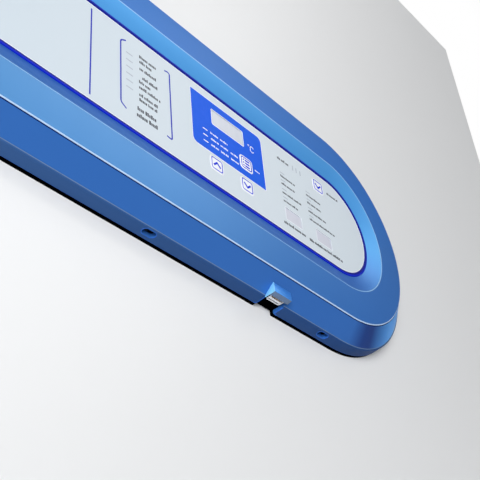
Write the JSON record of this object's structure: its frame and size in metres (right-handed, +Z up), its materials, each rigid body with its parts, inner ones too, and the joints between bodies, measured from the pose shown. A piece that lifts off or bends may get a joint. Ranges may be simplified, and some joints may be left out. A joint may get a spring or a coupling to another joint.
{
  "type": "ultra low temperature freezer",
  "caption": "Upright laboratory freezer: insulated cabinet on castors, full-height door with a bezelled control console, inner doors, shelves and a machine compartment.",
  "frame": {"origin": "on the floor under the middle of the whole cabinet", "axes": "+X right, +Y back, +Z up; the door faces -Y"},
  "size_m": [1.234, 1, 1.98],
  "materials": {
    "cabinet_paint": "fine matt powder coat",
    "door_paint": "smooth pale grey powder coat",
    "stainless": "brushed stainless sheet",
    "foam": "closed cell foam",
    "frame_plastic": "moulded light grey plastic",
    "copper": "drawn copper",
    "black_steel": "black enamel",
    "zinc_steel": "zinc plated steel",
    "aluminium": "bare aluminium fin stock",
    "black_plastic": "moulded black plastic",
    "black_rubber": "black closed cell rubber",
    "wheel_rubber": "dark grey tread",
    "filter_foam": "open mesh filter mat",
    "gasket_rubber": "grey magnetic gasket",
    "handle_plastic": "satin dark grey moulding",
    "console_blue": "satin mid blue moulding",
    "trim_blue": "royal blue film edge",
    "membrane": "pale grey printed film",
    "window_film": "tinted clear window",
    "key_film": "embossed key film",
    "board_green": "lacquered board"
  },
  "bodies": {
    "root": {"cabinet_shell": "cabinet_paint", "cabinet_rear_panel": "cabinet_paint", "inner_liner": "stainless", "cabinet_foam": "foam", "breaker_frame": "frame_plastic", "evaporator_coil": "copper", "shelf_standards": "stainless", "shelf_1": "stainless", "shelf_2": "stainless", "shelf_3": "stainless", "base_chassis": "black_steel", "machine_deck": "zinc_steel", "compressor_first_stage": "black_steel", "compressor_second_stage": "black_steel", "condenser_coil": "aluminium", "fan_shroud": "black_plastic", "cascade_heat_exchanger": "black_rubber", "filter_driers": "copper", "electrical_box": "zinc_steel", "backup_battery": "black_plastic", "power_inlet": "black_plastic", "rear_spacers": "black_rubber", "access_port_caps": "frame_plastic", "castor_mounts": "zinc_steel", "levelling_feet": "zinc_steel", "hinge_brackets": "zinc_steel", "hinge_cover": "frame_plastic", "latch_keeper": "zinc_steel"},
    "outer_door": {"door_skin": "door_paint", "door_foam": "foam", "door_liner": "frame_plastic", "door_gasket": "gasket_rubber", "handle_base": "handle_plastic", "console_housing": "console_blue", "console_gasket": "black_rubber", "console_trim_ring": "trim_blue", "membrane_panel": "membrane", "display_windows": "window_film", "display_board": "board_green", "usb_socket": "zinc_steel"},
    "handle": {"handle_lever": "handle_plastic"},
    "lock": {"lock_barrel": "zinc_steel"},
    "key_set": {"key_set": "key_film"},
    "key_up": {"key_up": "key_film"},
    "key_down": {"key_down": "key_film"},
    "key_silence": {"key_silence": "key_film"},
    "grille": {"lower_grille": "door_paint", "air_filter": "filter_foam"},
    "fan": {"condenser_fan": "aluminium"},
    "rocker": {"power_rocker": "black_plastic"},
    "castor_left": {"castor_fork_front_left": "zinc_steel"},
    "castor_right": {"castor_fork_front_right": "zinc_steel"},
    "wheel_front_left": {"wheel_front_left": "wheel_rubber"},
    "wheel_front_right": {"wheel_front_right": "wheel_rubber"},
    "wheel_rear_left": {"wheel_rear_left": "wheel_rubber"},
    "wheel_rear_right": {"wheel_rear_right": "wheel_rubber"},
    "inner_door_1": {"inner_door_1": "frame_plastic"},
    "inner_door_2": {"inner_door_2": "frame_plastic"},
    "inner_door_3": {"inner_door_3": "frame_plastic"},
    "inner_door_4": {"inner_door_4": "frame_plastic"}
  },
  "joints": [
    {"name": "door_hinge", "type": "hinge", "parent": "root", "child": "outer_door", "pos_m": [0.601, -0.35, 1.208], "axis": [0, 0, 1], "range_deg": [0, 110]},
    {"name": "handle_pull", "type": "hinge", "parent": "outer_door", "child": "handle", "pos_m": [-0.585, -0.463, 1.23], "axis": [0, 0, -1], "range_deg": [0, 40], "stiffness_Nm_per_rad": 2},
    {"name": "lock_turn", "type": "hinge", "parent": "outer_door", "child": "lock", "pos_m": [-0.56, -0.452, 1.082], "axis": [0, 1, 0], "range_deg": [0, 90]},
    {"name": "grille_hinge", "type": "hinge", "parent": "root", "child": "grille", "pos_m": [0.599, -0.4, 0.278], "axis": [0, 0, 1], "range_deg": [0, 90]},
    {"name": "fan_spin", "type": "hinge", "parent": "root", "child": "fan", "pos_m": [-0.3, -0.208, 0.29], "axis": [0, 1, 0], "continuous": true},
    {"name": "rocker_tilt", "type": "hinge", "parent": "root", "child": "rocker", "pos_m": [-0.44, 0.475, 0.21], "axis": [1, 0, 0], "range_deg": [-8, 8]},
    {"name": "castor_left_swivel", "type": "hinge", "parent": "root", "child": "castor_left", "pos_m": [-0.54, -0.3, 0.1], "axis": [0, 0, 1], "continuous": true},
    {"name": "castor_right_swivel", "type": "hinge", "parent": "root", "child": "castor_right", "pos_m": [0.54, -0.3, 0.1], "axis": [0, 0, 1], "continuous": true},
    {"name": "wheel_front_left_spin", "type": "hinge", "parent": "castor_left", "child": "wheel_front_left", "pos_m": [-0.54, -0.276, 0.047], "axis": [1, 0, 0], "continuous": true},
    {"name": "wheel_front_right_spin", "type": "hinge", "parent": "castor_right", "child": "wheel_front_right", "pos_m": [0.54, -0.276, 0.047], "axis": [1, 0, 0], "continuous": true},
    {"name": "wheel_rear_left_spin", "type": "hinge", "parent": "root", "child": "wheel_rear_left", "pos_m": [-0.54, 0.4, 0.044], "axis": [1, 0, 0], "continuous": true},
    {"name": "wheel_rear_right_spin", "type": "hinge", "parent": "root", "child": "wheel_rear_right", "pos_m": [0.54, 0.4, 0.044], "axis": [1, 0, 0], "continuous": true},
    {"name": "key_set_press", "type": "slide", "parent": "outer_door", "child": "key_set", "axis": [0, 1, 0], "range_m": [0, 0.0004], "stiffness_N_per_m": 2500},
    {"name": "key_up_press", "type": "slide", "parent": "outer_door", "child": "key_up", "axis": [0, 1, 0], "range_m": [0, 0.0004], "stiffness_N_per_m": 2500},
    {"name": "key_down_press", "type": "slide", "parent": "outer_door", "child": "key_down", "axis": [0, 1, 0], "range_m": [0, 0.0004], "stiffness_N_per_m": 2500},
    {"name": "key_silence_press", "type": "slide", "parent": "outer_door", "child": "key_silence", "axis": [0, 1, 0], "range_m": [0, 0.0004], "stiffness_N_per_m": 2500},
    {"name": "inner_door_1_hinge", "type": "hinge", "parent": "root", "child": "inner_door_1", "pos_m": [0.474, -0.318, 1.2], "axis": [0, 0, 1], "range_deg": [0, 44]},
    {"name": "inner_door_2_hinge", "type": "hinge", "parent": "root", "child": "inner_door_2", "pos_m": [0.474, -0.318, 1.2], "axis": [0, 0, 1], "range_deg": [0, 60.5]},
    {"name": "inner_door_3_hinge", "type": "hinge", "parent": "root", "child": "inner_door_3", "pos_m": [0.474, -0.318, 1.2], "axis": [0, 0, 1], "range_deg": [0, 77]},
    {"name": "inner_door_4_hinge", "type": "hinge", "parent": "root", "child": "inner_door_4", "pos_m": [0.474, -0.318, 1.2], "axis": [0, 0, 1], "range_deg": [0, 93.5]}
  ],
  "couplings": [
    {"joint": "inner_door_1_hinge", "follows": "door_hinge", "ratio": 0.4},
    {"joint": "inner_door_2_hinge", "follows": "door_hinge", "ratio": 0.55},
    {"joint": "inner_door_3_hinge", "follows": "door_hinge", "ratio": 0.7},
    {"joint": "inner_door_4_hinge", "follows": "door_hinge", "ratio": 0.85}
  ]
}
